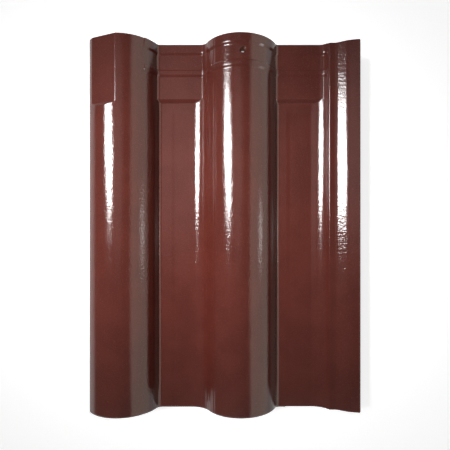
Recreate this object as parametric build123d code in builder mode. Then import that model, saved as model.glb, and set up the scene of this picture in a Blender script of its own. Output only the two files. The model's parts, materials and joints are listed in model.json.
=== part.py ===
from build123d import *
from math import acos, asin, degrees, radians, sin, sqrt, tan
import os

# Interlocking roof tile: pressed and glazed clay, one piece, with two rolls and two pans.
# X runs across the roof, Y up the slope to the head, Z out of the roof, in millimetres.

# Overall size
length = 400.0
width = 290.0
wall = 9.5

# Rolls: round backs that stand out of the pans
roll_radius = 41.0
roll_height = 30.0

# Feet of the rolls, where they run into the pans
steep_fillet = 5.0  # on each roll's right
gentle_fillet = 23.0  # on each roll's left

# Side lap: the cover roll's free edge on the left lies over the gutter on the right
side_lap = 30.0
lap_clearance = 0.8
lap_wall = 8.0
gutter_width = 50.0  # from where the last pan's slope leaves the flat to the right edge
ledge_height = 9.0
ledge_width = 7.5
lip_slope = 27.0  # degrees, up from the ledge
lip_slope_width = 12.0
lip_top_slope = 10.0  # degrees, on to the right edge
lip_foot_fillet = 8.0
lip_shoulder_fillet = 20.0
edge_round = 1.5
cover_edge = 4.8  # the free edge's thickness
cover_round = 2.0

# Head: raised pan ends, weather bars across them, and a flat for the tile at the corner above
plateau_height = 3.0
plateau_length = 64.0
plateau_run = 4.5  # the step's width, seen from above
plateau_fillet = 10.0  # on the raised end's right
bar_height = 1.0
bar_slope = 3.5  # the width of a bar's side that looks down the roof
bar_back = 1.5  # and of the side that looks up it
head_bar_width = 12.5
bar_width = 9.0
bar_place = 31.8  # the second bar's middle, from the head
bar_start_turn = 42.0  # where the bars begin on the cover roll, in degrees from its crown
bar_end_turn = 47.0  # where they end on the gutter's slope, in degrees up from the pan
flat_length = 76.0
flat_drop = 12.5
flat_ramp = 5.0
flat_ramp_height = 4.75

# Nail hole in the middle roll
hole_radius = 2.75
hole_place = 18.0  # from the head
hole_offset = 2.0  # from the crown
hole_chamfer = 0.8

# Underside: nibs that hang on the batten, and roll ends that nest on the course below
nib_depth = 13.0
nib_margin = 1.5  # from the nib's side to the pan's
nib_thickness = 15.0
nib_place = 30.0  # the batten face, from the head
nib_draft = 6.0
nib_round = 2.0
head_lap = 74.0
nest_clearance = 0.8

# Ends: rounded glazed arrises, and a tail that is a little shorter from the second pan on
tail_round = 2.0
head_round = 1.2
set_back = 1.0
set_back_gap = 6.0  # from the middle roll's foot

# Where one shape runs into or past another
sink = 0.2  # the raised ends' and the bars' edges, under the glaze
root = 3.0  # what is added, down into the wall
nib_overlap = 1.0
past = 5.0  # what is cut off, out beyond the tile
search = 0.01  # when edges are picked by their place

# Levels, and the step up from one course to the next
pan_top = nib_depth + wall
pan_under = nib_depth
axis_level = pan_top + roll_height - roll_radius
crown_level = axis_level + roll_radius
plateau_level = pan_top + plateau_height
ledge_level = pan_top + ledge_height
cover_edge_level = ledge_level + lap_clearance
course_step = wall + plateau_height + bar_height


def half_chord(radius, rise):
    """Half the width of a circle at a height above its centre."""
    return sqrt(radius**2 - rise**2)


def foot(distance, rise):
    """How far across and how many degrees round one circle's centre is from another's."""
    return half_chord(distance, rise), degrees(acos(rise / distance))


steep_reach, steep_turn = foot(roll_radius + steep_fillet, pan_top + steep_fillet - axis_level)
gentle_reach, gentle_turn = foot(roll_radius + gentle_fillet, pan_top + gentle_fillet - axis_level)

# Places along and across the tile
head = length / 2
tail = -length / 2
left = -width / 2
right = width / 2
cover_reach = half_chord(roll_radius, cover_edge_level + cover_edge - axis_level)
roll_spacing = (width - side_lap) / 2
cover_roll = left + cover_reach
middle_roll = cover_roll + roll_spacing
gutter_start = right - gutter_width
pans = ((cover_roll, middle_roll - gentle_reach), (middle_roll, gutter_start))

# The side lap's places
gutter_turn = degrees(acos(1 - ledge_height / gentle_fillet))
ledge_start = gutter_start + gentle_fillet * sin(radians(gutter_turn))
lip_foot = ledge_start + ledge_width
lip_shoulder = lip_foot + lip_slope_width
lip_shoulder_level = ledge_level + lip_slope_width * tan(radians(lip_slope))
lip_edge_level = lip_shoulder_level + (right - lip_shoulder) * tan(radians(lip_top_slope))
lap_level = ledge_level - lap_wall
lap_start = gutter_start + half_chord(gentle_fillet + wall, pan_top + gentle_fillet - lap_level)
lap_shift = lap_wall * tan(radians(lip_slope / 2))  # keeps the sloped wall as thick as the level one

# The cover roll's free edge, which ends just above the next tile's ledge
cover_axis_level = axis_level - wall
cover_top_level = cover_edge_level + cover_edge
cover_foot = cover_roll - half_chord(roll_radius, cover_edge_level - cover_axis_level)


def arc_by_turn(centre_x, centre_z, radius, start, turn):
    CenterArc((centre_x, centre_z), radius, start, turn)


def steep_foot(crown_x, depth):
    arc_by_turn(crown_x + steep_reach, pan_top + steep_fillet, steep_fillet + depth, 270, -steep_turn)


def gentle_foot(crown_x, depth):
    arc_by_turn(crown_x - gentle_reach, pan_top + gentle_fillet, gentle_fillet + depth, 270, gentle_turn)


def middle_run(depth):
    """The section at a depth below the glaze, from the cover roll's crown side to the last slope."""
    level = pan_top - depth
    steep_foot(cover_roll, depth)
    Line((cover_roll + steep_reach, level), (middle_roll - gentle_reach, level))
    gentle_foot(middle_roll, depth)
    turn = gentle_turn + steep_turn
    arc_by_turn(middle_roll, axis_level, roll_radius - depth, 90 + gentle_turn, -turn)
    steep_foot(middle_roll, depth)
    Line((middle_roll + steep_reach, level), (gutter_start, level))


def top_run():
    """The glazed face, from the cover roll's free edge to the lip's outer edge."""
    cover_turn = degrees(asin(cover_reach / roll_radius))
    arc_by_turn(cover_roll, axis_level, roll_radius, 90 + cover_turn, -cover_turn - steep_turn)
    middle_run(0)
    arc_by_turn(gutter_start, pan_top + gentle_fillet, gentle_fillet, 270, gutter_turn)
    Polyline(
        (ledge_start, ledge_level),
        (lip_foot, ledge_level),
        (lip_shoulder, lip_shoulder_level),
        (right, lip_edge_level),
    )


def bottom_run():
    """The bare underside, from the cover roll's free edge to the lip's outer edge."""
    Line((left, cover_edge_level), (cover_foot, cover_edge_level))
    cover_turn = degrees(asin((cover_roll - cover_foot) / roll_radius))
    arc_by_turn(cover_roll, cover_axis_level, roll_radius, 90 + cover_turn, -cover_turn)
    arc_by_turn(cover_roll, axis_level, roll_radius - wall, 90, -steep_turn)
    middle_run(wall)
    lap_turn = degrees(asin((lap_start - gutter_start) / (gentle_fillet + wall)))
    arc_by_turn(gutter_start, pan_top + gentle_fillet, gentle_fillet + wall, 270, lap_turn)
    Polyline(
        (lap_start, lap_level),
        (lip_foot + lap_shift, lap_level),
        (lip_shoulder + lap_shift, lip_shoulder_level - lap_wall),
        (right, lip_edge_level - lap_wall),
    )


def corner(sketch, x, z):
    return sketch.vertices().sort_by_distance(Vector(x, z, 0))[0]


def across(y):
    """The plane across the tile at a place along it, with X to the right and Z up."""
    return Plane(origin=(0, y, 0), x_dir=(1, 0, 0), z_dir=(0, -1, 0))


def upper_edges(piece, y):
    """The edges of the faces that look up, where they end at a place along the tile."""
    looking_up = piece.faces().filter_by(lambda face: face.normal_at().Z > search)
    return looking_up.edges().filter_by_position(Axis.Y, y - search, y + search)


# The section, pulled from head to tail
with BuildPart() as roof_tile:
    with BuildSketch(across(head)) as section:
        with BuildLine():
            top_run()
            bottom_run()
            Line((left, cover_edge_level), (left, cover_top_level))
            Line((right, lip_edge_level - lap_wall), (right, lip_edge_level))
        make_face()
        fillet(corner(section, left, cover_top_level), cover_round)
        fillet(corner(section, left, cover_edge_level), edge_round)
        fillet(corner(section, cover_foot, cover_edge_level), edge_round)
        fillet(corner(section, ledge_start, ledge_level), edge_round)
        fillet(corner(section, lip_foot, ledge_level), lip_foot_fillet)
        fillet(corner(section, lip_shoulder, lip_shoulder_level), lip_shoulder_fillet)
        fillet(corner(section, right, lip_edge_level), edge_round)
    extrude(amount=length)
    fillet(upper_edges(roof_tile, tail), tail_round)


def raised_feet(overlap):
    """Reach and turn of the raised pan ends' feet: on a roll's right, on its left and on the gutter."""
    return (
        foot(roll_radius + steep_fillet - overlap, plateau_level + steep_fillet - axis_level),
        foot(roll_radius + plateau_fillet - overlap, plateau_level + plateau_fillet - axis_level),
        foot(gentle_fillet - plateau_fillet + overlap, gentle_fillet - plateau_fillet - plateau_height),
    )


def raised_end(first, last, first_turn, last_turn):
    """A pan's raised end: a level floor between its feet, and a step down to the pan."""
    with BuildPart(mode=Mode.PRIVATE) as block:
        step = head - plateau_length
        for y, rise in ((head + past, plateau_height), (step + plateau_run, plateau_height), (step, -sink)):
            level = pan_top + rise
            with BuildSketch(across(y)):
                with BuildLine():
                    steep = CenterArc((first, level + steep_fillet), steep_fillet, 270, -first_turn)
                    Line((first, level), (last, level))
                    gentle = CenterArc((last, level + plateau_fillet), plateau_fillet, 270, last_turn)
                    Polyline(
                        steep @ 1,
                        (first - steep_fillet, pan_top - root),
                        (last + plateau_fillet / 2, pan_top - root),
                        gentle @ 1,
                    )
                make_face()
        loft(ruled=True)
    return block.part


def bar_outline(rise):
    """The head's own curve as a band whose upper side stands this far above the glaze."""
    steep, gentle, gutter = raised_feet(0)
    first_pan = (cover_roll + steep[0], middle_roll - gentle[0])
    second_pan = (middle_roll + steep[0], gutter_start + gutter[0])
    start = 90 - bar_start_turn
    end = 270 + bar_end_turn
    slope_centre = pan_top + gentle_fillet
    for depth in (-rise, root):
        arc_by_turn(cover_roll, axis_level, roll_radius - depth, start, bar_start_turn - steep[1])
        for first, last in (first_pan, second_pan):
            arc_by_turn(first, plateau_level + steep_fillet, steep_fillet + depth, 270, -steep[1])
            Line((first, plateau_level - depth), (last, plateau_level - depth))
        arc_by_turn(first_pan[1], plateau_level + plateau_fillet, plateau_fillet + depth, 270, gentle[1])
        arc_by_turn(middle_roll, axis_level, roll_radius - depth, 90 + gentle[1], -gentle[1] - steep[1])
        arc_by_turn(second_pan[1], plateau_level + plateau_fillet, plateau_fillet + depth, 270, gutter[1])
        arc_by_turn(gutter_start, slope_centre, gentle_fillet + depth, end, gutter[1] - bar_end_turn)
    inner = Vector(roll_radius - root, 0).rotate(Axis.Z, start)
    outer = Vector(roll_radius + rise, 0).rotate(Axis.Z, start)
    Line(inner + (cover_roll, axis_level), outer + (cover_roll, axis_level))
    inner = Vector(gentle_fillet + root, 0).rotate(Axis.Z, end)
    outer = Vector(gentle_fillet - rise, 0).rotate(Axis.Z, end)
    Line(inner + (gutter_start, slope_centre), outer + (gutter_start, slope_centre))


def weather_bar(profile):
    """A low bar along the head's curve, from the cover roll's right side to the gutter's slope."""
    with BuildPart(mode=Mode.PRIVATE) as bar:
        for y, rise in profile:
            with BuildSketch(across(y)):
                with BuildLine():
                    bar_outline(rise)
                make_face()
        loft(ruled=True)
    return bar.part


# Each bar's section along the tile, from head to tail: places, and heights above what it crosses
bar_start = head - bar_place + bar_width / 2
head_bar_profile = (
    (head + past, bar_height),
    (head - head_bar_width + bar_slope, bar_height),
    (head - head_bar_width, -sink),
)
second_bar_profile = (
    (bar_start, -sink),
    (bar_start - bar_back, bar_height),
    (bar_start - bar_width + bar_slope, bar_height),
    (bar_start - bar_width, -sink),
)

with roof_tile:
    steep, gentle, gutter = raised_feet(sink)
    add(raised_end(cover_roll + steep[0], middle_roll - gentle[0], steep[1], gentle[1]))
    add(raised_end(middle_roll + steep[0], gutter_start + gutter[0], steep[1], gutter[1]))
    add(weather_bar(head_bar_profile))
    add(weather_bar(second_bar_profile))

    # The flat on the cover roll, which slopes from its crown to its free edge
    slope = flat_drop / cover_reach
    far = cover_reach + past
    flat_end = head - flat_length
    for y, rise in ((head + past, 0), (flat_end + flat_ramp, 0), (flat_end, flat_ramp_height)):
        with BuildSketch(across(y)):
            with BuildLine():
                Polyline(
                    (cover_roll, crown_level + rise),
                    (cover_roll - far, crown_level + rise - slope * far),
                    (cover_roll - far, crown_level + flat_ramp_height + past),
                    (cover_roll, crown_level + flat_ramp_height + past),
                    close=True,
                )
            make_face()
    loft(ruled=True, mode=Mode.SUBTRACT)

    # Room under each roll for the roll of the tile below
    nest_radius = roll_radius + bar_height + nest_clearance
    nest_level = axis_level - course_step
    nest_turn = degrees(acos((pan_under - nest_level) / nest_radius))
    for crown_x, left_turn in ((cover_roll, 0), (middle_roll, nest_turn)):
        with BuildSketch(across(tail + head_lap)):
            with BuildLine():
                nest = CenterArc((crown_x, nest_level), nest_radius, 90 - nest_turn, nest_turn + left_turn)
                Polyline(nest @ 1, ((nest @ 1).X, pan_under), nest @ 0)
            make_face()
        extrude(amount=head_lap, mode=Mode.SUBTRACT)

    # Batten nibs under the pans
    for crown_x, end_x in pans:
        pan_start = crown_x + steep_reach
        nib_width = end_x - pan_start - 2 * nib_margin
        with BuildPart(mode=Mode.PRIVATE) as nib:
            with BuildSketch(Plane.XY.offset(pan_under + nib_overlap)):
                with Locations(((pan_start + end_x) / 2, head - nib_place + nib_thickness / 2)):
                    RectangleRounded(nib_width, nib_thickness, nib_round)
            extrude(amount=-nib_depth - nib_overlap, taper=nib_draft)
            fillet(nib.faces().sort_by(Axis.Z)[0].edges(), nib_round)
        add(nib.part)

    # Trimmed flush at the head
    with Locations((0, 0, pan_top)):
        Box(width + 2 * past, length, 2 * (crown_level + past), mode=Mode.INTERSECT)

    with Locations((middle_roll + hole_offset, head - hole_place, crown_level)):
        CounterSinkHole(hole_radius, hole_radius + hole_chamfer)

    # The tail of the second pan and the gutter is a little shorter
    set_back_start = middle_roll + steep_reach + set_back_gap
    with Locations(((set_back_start + right) / 2, tail, pan_top)):
        Box(right - set_back_start, 2 * set_back, 2 * crown_level, mode=Mode.SUBTRACT)
    fillet(upper_edges(roof_tile, head), head_round)

print("tile", roof_tile.part.is_valid, round(roof_tile.part.volume), len(roof_tile.part.solids()))
roof_tile.part.label = "roof_tile"
os.makedirs("parts", exist_ok=True)
export_step(roof_tile.part, "parts/roof_tile.step")
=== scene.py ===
import bpy, json, math
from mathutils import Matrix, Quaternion, Vector

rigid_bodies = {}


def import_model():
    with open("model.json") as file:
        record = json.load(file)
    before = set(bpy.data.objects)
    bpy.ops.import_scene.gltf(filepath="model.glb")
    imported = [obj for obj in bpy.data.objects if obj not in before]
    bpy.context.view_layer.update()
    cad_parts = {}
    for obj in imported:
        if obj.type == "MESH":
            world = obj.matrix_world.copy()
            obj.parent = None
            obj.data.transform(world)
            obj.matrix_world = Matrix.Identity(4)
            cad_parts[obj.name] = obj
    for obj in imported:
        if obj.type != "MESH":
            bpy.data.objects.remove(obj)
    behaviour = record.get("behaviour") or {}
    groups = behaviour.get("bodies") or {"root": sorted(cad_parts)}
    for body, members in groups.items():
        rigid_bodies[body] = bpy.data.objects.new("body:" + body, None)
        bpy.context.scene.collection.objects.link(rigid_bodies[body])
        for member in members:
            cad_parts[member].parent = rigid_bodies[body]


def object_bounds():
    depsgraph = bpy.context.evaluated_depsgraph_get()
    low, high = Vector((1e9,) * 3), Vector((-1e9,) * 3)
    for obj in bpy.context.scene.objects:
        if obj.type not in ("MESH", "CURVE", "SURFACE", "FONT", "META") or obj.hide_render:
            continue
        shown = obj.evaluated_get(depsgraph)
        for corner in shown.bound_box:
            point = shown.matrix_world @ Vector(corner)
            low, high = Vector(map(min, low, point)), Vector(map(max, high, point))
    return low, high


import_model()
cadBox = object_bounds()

print("loaded the CAD frame")
millimetre = 0.001
white = (1, 1, 1, 1)

# The camera looks straight down, and its plumb line falls right of and below the tile's middle. Columns, rows and
# the focal length are in the photo's pixels, and the scale is a pixel's size at the level of the pans
camera = {
    "imageWidth": 450,
    "footColumn": 240,
    "footRow": 243,
    "focalPixels": 400,
    "scale": 1.1075 * millimetre,
    "tileColumn": 225.4,
    "tileRow": 226.8,
    "panLevel": 22.5 * millimetre,
    "sensor": 36,
}


def placeCamera():
    data = bpy.data.cameras.new("plan camera")
    data.sensor_width = camera["sensor"]
    data.lens = camera["focalPixels"] / camera["imageWidth"] * camera["sensor"]
    data.shift_x = 0.5 - camera["footColumn"] / camera["imageWidth"]
    data.shift_y = camera["footRow"] / camera["imageWidth"] - 0.5
    holder = bpy.data.objects.new("plan camera", data)
    holder.location = (
        (camera["footColumn"] - camera["tileColumn"]) * camera["scale"],
        (camera["tileRow"] - camera["footRow"]) * camera["scale"],
        camera["panLevel"] + camera["focalPixels"] * camera["scale"],
    )
    bpy.context.collection.objects.link(holder)
    bpy.context.scene.camera = holder
    print("placed the camera")


# Fills a node tree. An input goes by its name, or by its number as in slot_0
class Graph:
    def __init__(self, tree):
        self.tree = tree
        tree.nodes.clear()

    def add(self, kind, settings=None, **inputs):
        node = self.tree.nodes.new(kind)
        for key, value in (settings or {}).items():
            setattr(node, key, value)
        for key, value in inputs.items():
            self.feed(node, key, value)
        return node

    def feed(self, node, key, value):
        name = int(key.removeprefix("slot_")) if key.startswith("slot_") else key.replace("_", " ")
        if isinstance(value, bpy.types.NodeSocket):
            self.tree.links.new(value, node.inputs[name])
        else:
            node.inputs[name].default_value = value

    def axes(self, place):
        return self.add("ShaderNodeSeparateXYZ", Vector=place).outputs

    def math(self, operation, first, second=0.0, third=0.0):
        node = self.add("ShaderNodeMath", {"operation": operation}, slot_0=first, slot_1=second, slot_2=third)
        return node.outputs[0]

    def vectorMath(self, operation, first, second, output):
        node = self.add("ShaderNodeVectorMath", {"operation": operation}, slot_0=first, slot_1=second)
        return node.outputs[output]

    # Eases from newLow to newHigh while the value goes from low to high
    def remap(self, value, low, high, newLow=0.0, newHigh=1.0):
        node = self.add("ShaderNodeMapRange", {"interpolation_type": "SMOOTHSTEP"}, Value=value,
                        From_Min=low, From_Max=high, To_Min=newLow, To_Max=newHigh)
        return node.outputs[0]

    def noise(self, place, size, detail, rough):
        node = self.add("ShaderNodeTexNoise", Vector=place, Scale=1 / size, Detail=detail, Roughness=rough)
        return node.outputs["Fac"]

    def bump(self, height, distance, normal):
        return self.add("ShaderNodeBump", Strength=1.0, Distance=distance, Height=height, Normal=normal).outputs[0]

    # Inputs 6 and 7 and output 2 are the node's colours
    def blend(self, factor, first, second):
        node = self.add("ShaderNodeMix", {"data_type": "RGBA"}, slot_0=factor, slot_6=first, slot_7=second)
        return node.outputs[2]

    def mixShaders(self, factor, first, second):
        node = self.add("ShaderNodeMixShader", Fac=factor, slot_1=first.outputs[0], slot_2=second.outputs[0])
        return node.outputs[0]


# The glaze: dark red-brown and glossy, with slow waves and the fine orange peel of a sprayed and fired coat
glaze = {
    "body": (0.168, 0.036, 0.025, 1),
    "deep": (0.145, 0.030, 0.021, 1),
    "warm": (0.240, 0.062, 0.044, 1),
    "roughness": 0.12,
    "ior": 1.5,
    "peel": {"size": 2.2 * millimetre, "detail": 2.0, "rough": 0.6},
    "peelHeight": 0.17,  # this and the other heights of the glaze are in millimetres
    "wave": {"size": 12 * millimetre, "detail": 1.0, "rough": 0.4},
    "waveHeight": 0.12,
    "cloud": {"size": 30 * millimetre, "detail": 3.0, "rough": 0.55},
    "cloudRange": (0.35, 0.65),
    "speck": {"size": 0.9 * millimetre, "detail": 2.0, "rough": 0.7},
    "speckRange": (0.52, 0.75),
}

# The pans' floors sink a little between soft rims, from below the raised ends to the tail
dish = {
    "middles": (-48.0 * millimetre, 83.0 * millimetre),
    "halfWidths": (12.3 * millimetre, 16.0 * millimetre),
    "start": 130 * millimetre,
    "corner": 6 * millimetre,
    "rim": 5.0 * millimetre,
    "depth": 0.26,
}

# Fine ridges that the die leaves along the middle roll's gentle foot
ridges = {
    "middle": -15.5 * millimetre,
    "reach": 7.0 * millimetre,
    "pitch": 2.8 * millimetre,
    "height": 0.07,
}

# The bare clay of the underside
clay = {
    "body": (0.33, 0.125, 0.070, 1),
    "pale": (0.43, 0.20, 0.125, 1),
    "roughness": 0.85,
    "grain": {"size": 0.8 * millimetre, "detail": 4.0, "rough": 0.7},
    "grainHeight": 0.10 * millimetre,
    "cloud": {"size": 30 * millimetre, "detail": 4.0, "rough": 0.6},
    "cloudRange": (0.35, 0.7),
}

# Worn edges, and where the glaze stops: it covers what looks up, and near the sides and ends also what is upright
edge = {
    "radius": 0.9 * millimetre,
    "samples": 6,
    "rim": 4 * millimetre,
    "rimGain": 0.3,
    "ragged": 0.1,
    "bare": 0.10,
    "covered": 0.22,
}


# How far a place is outside the dish in a pan, as a length that is negative inside
def dishDistance(graph, place, middle, halfWidth):
    axes = graph.axes(place)
    across = graph.math("ABSOLUTE", graph.math("SUBTRACT", axes["X"], middle))
    across = graph.math("MAXIMUM", graph.math("SUBTRACT", across, halfWidth - dish["corner"]), 0.0)
    along = graph.math("MAXIMUM", graph.math("SUBTRACT", axes["Y"], dish["start"] - dish["corner"]), 0.0)
    square = graph.math("ADD", graph.math("MULTIPLY", across, across), graph.math("MULTIPLY", along, along))
    return graph.math("SUBTRACT", graph.math("SQRT", square), dish["corner"])


def dishRise(graph, place):
    distances = [dishDistance(graph, place, *pan) for pan in zip(dish["middles"], dish["halfWidths"])]
    return graph.remap(graph.math("MINIMUM", *distances), -dish["rim"], 0.0, 0.0, dish["depth"])


def ridgeRise(graph, place):
    across = graph.math("SUBTRACT", graph.axes(place)["X"], ridges["middle"])
    crest = graph.math("COSINE", graph.math("MULTIPLY", across, 2 * math.pi / ridges["pitch"]))
    inside = graph.remap(graph.math("ABSOLUTE", across), ridges["reach"], ridges["reach"] - ridges["pitch"])
    return graph.math("MULTIPLY", graph.math("MULTIPLY", crest, inside), ridges["height"])


def glazeShader(graph, place, soft, wave):
    peel = graph.noise(place, **glaze["peel"])
    rise = graph.math("ADD", dishRise(graph, place), ridgeRise(graph, place))
    rise = graph.math("ADD", rise, graph.math("MULTIPLY", wave, glaze["waveHeight"]))
    rise = graph.math("ADD", rise, graph.math("MULTIPLY", peel, glaze["peelHeight"]))

    cloud = graph.noise(place, **glaze["cloud"])
    speck = graph.noise(place, **glaze["speck"])
    tone = graph.blend(graph.remap(cloud, *glaze["cloudRange"]), glaze["deep"], glaze["body"])
    tone = graph.blend(graph.remap(speck, *glaze["speckRange"]), tone, glaze["warm"])
    return graph.add("ShaderNodeBsdfPrincipled", Base_Color=tone, Roughness=glaze["roughness"],
                     IOR=glaze["ior"], Normal=graph.bump(rise, millimetre, soft))


def clayShader(graph, place, soft):
    grain = graph.noise(place, **clay["grain"])
    cloud = graph.noise(place, **clay["cloud"])
    tone = graph.blend(graph.remap(cloud, *clay["cloudRange"]), clay["body"], clay["pale"])
    return graph.add("ShaderNodeBsdfPrincipled", Base_Color=tone, Roughness=clay["roughness"],
                     Normal=graph.bump(grain, clay["grainHeight"], soft))


# How much of a face the glaze covers, from the way the face looks, with a slightly ragged line
def glazeCover(graph, place, wave):
    normal = graph.add("ShaderNodeNewGeometry").outputs["True Normal"]
    up = graph.axes(normal)["Z"]
    axes = graph.axes(place)
    for key, half in zip(("X", "Y"), cadBox[1]):
        rim = graph.math("GREATER_THAN", graph.math("ABSOLUTE", axes[key]), half - edge["rim"])
        up = graph.math("MULTIPLY_ADD", rim, edge["rimGain"], up)
    up = graph.math("MULTIPLY_ADD", wave, edge["ragged"], up)
    return graph.remap(up, edge["bare"], edge["covered"])


def dressTile():
    material = bpy.data.materials.new("glazed clay")
    material.use_nodes = True
    graph = Graph(material.node_tree)
    place = graph.add("ShaderNodeTexCoord").outputs["Object"]
    soft = graph.add("ShaderNodeBevel", {"samples": edge["samples"]}, Radius=edge["radius"]).outputs[0]
    wave = graph.noise(place, **glaze["wave"])
    both = graph.mixShaders(glazeCover(graph, place, wave), clayShader(graph, place, soft),
                            glazeShader(graph, place, soft, wave))
    graph.add("ShaderNodeOutputMaterial", Surface=both)
    for thing in bpy.context.scene.objects:
        if thing.type == "MESH":
            for slot in thing.material_slots:
                slot.material = material
    print("made the glaze and the clay")


# Lamps: a window to the upper left and a small lamp on the right, which only shine, and soft light from the left,
# which only lights. Across and along are their angles from straight above, to the right and towards the head
window = {
    "across": -39,
    "along": 19,
    "distance": 1.6,
    "width": 16,
    "length": 22,
    "turn": -30,
    "radiance": 75,
}
farLamp = {
    "across": 62,
    "along": 3,
    "distance": 1.6,
    "width": 8,
    "length": 11,
    "turn": 0,
    "radiance": 6,
}
daylight = {
    "across": -27,
    "along": 9,
    "distance": 1.6,
    "radius": 0.15,
    "watts": 102,
    "aim": Vector((-30, 20, 0)) * millimetre,
    "cone": 19.5,
    "blend": 0.95,
}


def direction(across, along):
    return Vector((math.tan(math.radians(across)), math.tan(math.radians(along)), 1)).normalized()


# The width that an angle spans at a distance
def spanned(angle, distance):
    return 2 * distance * math.tan(math.radians(angle / 2))


# A lamp that the glaze mirrors and that lights nothing
def addShine(name, values):
    data = bpy.data.lights.new(name, "AREA")
    data.shape = "ELLIPSE"
    data.size = spanned(values["width"], values["distance"])
    data.size_y = spanned(values["length"], values["distance"])
    area = math.pi * data.size * data.size_y / 4
    data.energy = values["radiance"] * math.pi * area
    holder = bpy.data.objects.new(name, data)
    toward = direction(values["across"], values["along"])
    holder.location = toward * values["distance"]
    turn = Quaternion((0, 0, 1), math.radians(values["turn"]))
    holder.rotation_euler = (toward.to_track_quat("Z", "Y") @ turn).to_euler()
    holder.visible_diffuse = False
    bpy.context.collection.objects.link(holder)


# Light on the glaze's own colour, which falls off towards the tail
def addDaylight():
    data = bpy.data.lights.new("daylight", "SPOT")
    data.shadow_soft_size = daylight["radius"]
    data.energy = daylight["watts"]
    data.spot_size = math.radians(daylight["cone"])
    data.spot_blend = daylight["blend"]
    holder = bpy.data.objects.new("daylight", data)
    toward = direction(daylight["across"], daylight["along"])
    holder.location = toward * daylight["distance"] + daylight["aim"]
    holder.rotation_euler = toward.to_track_quat("Z", "Y").to_euler()
    holder.visible_glossy = False
    bpy.context.collection.objects.link(holder)


# The room: white to the camera, dim for the tile's own light. The glaze mirrors a pale patch of ceiling over
# the head, a pale wall on the right and a bright strip beyond the tail. Angles are in degrees
room = {
    "ambient": 0.13,
    "dark": 0.15,
    "ceiling": 0.80,
    "ceilingAcross": -8.5,
    "ceilingAlong": 12,
    "ceilingInner": 3,
    "ceilingOuter": 18,
    "wall": 1.45,
    "wallGlow": 0.03,
    "wallColour": (1.0, 0.96, 0.86, 1),
    "wallStart": 25,
    "wallFull": 30,
    "strip": 5.0,
    "stripAlong": 34,
    "stripHalf": 5,
}


def ceilingShine(graph, toward):
    middle = direction(room["ceilingAcross"], room["ceilingAlong"])
    facing = graph.vectorMath("DOT_PRODUCT", toward, middle, "Value")
    outer, inner = (math.cos(math.radians(room[key])) for key in ("ceilingOuter", "ceilingInner"))
    return graph.remap(facing, outer, inner, room["dark"], room["ceiling"])


def stripShine(graph, along):
    near, far = (math.sin(math.radians(room["stripAlong"] + side * room["stripHalf"])) for side in (-1, 1))
    away = graph.math("ABSOLUTE", graph.math("ADD", along, (near + far) / 2))
    return graph.remap(away, (far - near) / 2, (far - near) / 4, 0.0, room["strip"])


def roomLight():
    world = bpy.data.worlds.new("room")
    bpy.context.scene.world = world
    world.use_nodes = True
    graph = Graph(world.node_tree)
    path = graph.add("ShaderNodeLightPath").outputs
    toward = graph.add("ShaderNodeTexCoord").outputs["Generated"]
    axes = graph.axes(toward)
    start, full = (math.sin(math.radians(room[key])) for key in ("wallStart", "wallFull"))
    shine = graph.math("MAXIMUM", ceilingShine(graph, toward),
                       graph.remap(axes["X"], start, full, 0.0, room["wall"]))
    shine = graph.math("MAXIMUM", shine, stripShine(graph, axes["Y"]))
    glow = graph.remap(axes["X"], start, full, room["ambient"], room["wallGlow"])
    level = graph.math("MULTIPLY_ADD", path["Is Glossy Ray"], graph.math("SUBTRACT", shine, glow), glow)
    tint = graph.blend(graph.remap(axes["X"], start, full), white, room["wallColour"])
    dim = graph.add("ShaderNodeBackground", Color=tint, Strength=level)
    backdrop = graph.add("ShaderNodeBackground", Color=white, Strength=1.0)
    graph.add("ShaderNodeOutputWorld", Surface=graph.mixShaders(path["Is Camera Ray"], dim, backdrop))
    print("lit the room")


# The floor: pale, and brighter to the camera and in the glaze than its light makes it. That glow fades away
# under the tile, as painted shade like a soft contact shadow, and where the camera looks through the nail hole,
# as a painted dark patch that makes the hole look dark
floor = {
    "size": 8.0,
    "colour": (0.80, 0.80, 0.80, 1),
    "glow": 0.80,
    "beyond": 9 * millimetre,
    "fade": 24 * millimetre,
    "nailHole": Vector((19.0, 182.0, 47.2)) * millimetre,
    "shadeSqueeze": Vector((0.35, 1, 1)),
    "shadeInner": 4 * millimetre,
    "shadeOuter": 12 * millimetre,
}


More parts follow.
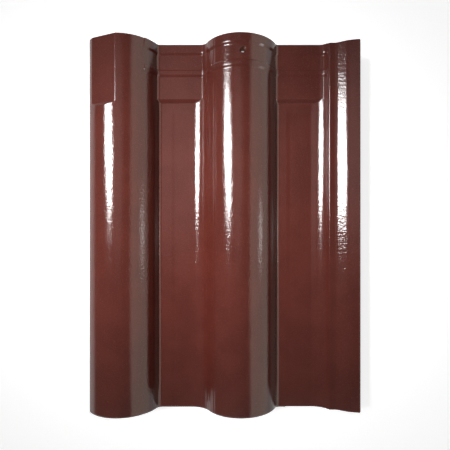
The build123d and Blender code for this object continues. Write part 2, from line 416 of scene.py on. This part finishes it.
# The place on the floor that the camera sees through the nail hole
def behindHole(level):
    eye = bpy.context.scene.camera.location
    hole = floor["nailHole"]
    return eye + (hole - eye) * (eye.z - level) / (eye.z - hole.z)


# Where the floor glows: outside the tile's box, and not behind the nail hole. Its fade under the box is painted
# shade, and its gap behind the hole is a painted dark patch
def glowOutsidePaintedShade(graph, place, level):
    axes = graph.axes(place)
    outside = 0.0
    # The glow fades in across the tile's box edges, which paints a soft contact shadow under the tile
    for key, half in zip(("X", "Y"), cadBox[1]):
        reach = half + floor["beyond"]
        away = graph.remap(graph.math("ABSOLUTE", axes[key]), reach - floor["fade"], reach)
        outside = graph.math("MAXIMUM", away, outside)
    # A squeezed round gap in the glow behind the nail hole paints a dark patch, like a shadow under the middle
    # roll's head
    squeeze = floor["shadeSqueeze"]
    squeezed = graph.vectorMath("MULTIPLY", place, squeeze, "Vector")
    gap = graph.vectorMath("DISTANCE", squeezed, behindHole(level) * squeeze, "Value")
    return graph.math("MULTIPLY", outside, graph.remap(gap, floor["shadeInner"], floor["shadeOuter"]))


def floorMaterial(level):
    material = bpy.data.materials.new("floor")
    material.use_nodes = True
    graph = Graph(material.node_tree)
    place = graph.add("ShaderNodeTexCoord").outputs["Object"]
    path = graph.add("ShaderNodeLightPath").outputs
    seen = graph.math("MAXIMUM", path["Is Camera Ray"], path["Is Glossy Ray"])
    seen = graph.math("MULTIPLY", seen, glowOutsidePaintedShade(graph, place, level))
    seen = graph.math("MULTIPLY", seen, floor["glow"])
    shader = graph.add("ShaderNodeBsdfPrincipled", Base_Color=floor["colour"], Roughness=1.0,
                       Emission_Color=white, Emission_Strength=seen)
    graph.add("ShaderNodeOutputMaterial", Surface=shader.outputs[0])
    return material


def addFloor():
    half = floor["size"] / 2
    level = cadBox[0][2]
    corners = [(-half, -half, level), (half, -half, level), (half, half, level), (-half, half, level)]
    mesh = bpy.data.meshes.new("floor")
    mesh.from_pydata(corners, [], [(0, 1, 2, 3)])
    mesh.materials.append(floorMaterial(level))
    holder = bpy.data.objects.new("floor", mesh)
    bpy.context.collection.objects.link(holder)
    print("laid the floor")


placeCamera()
dressTile()
addShine("window", window)
addShine("far lamp", farLamp)
addDaylight()
roomLight()
addFloor()
bpy.context.scene.view_settings.view_transform = "Standard"
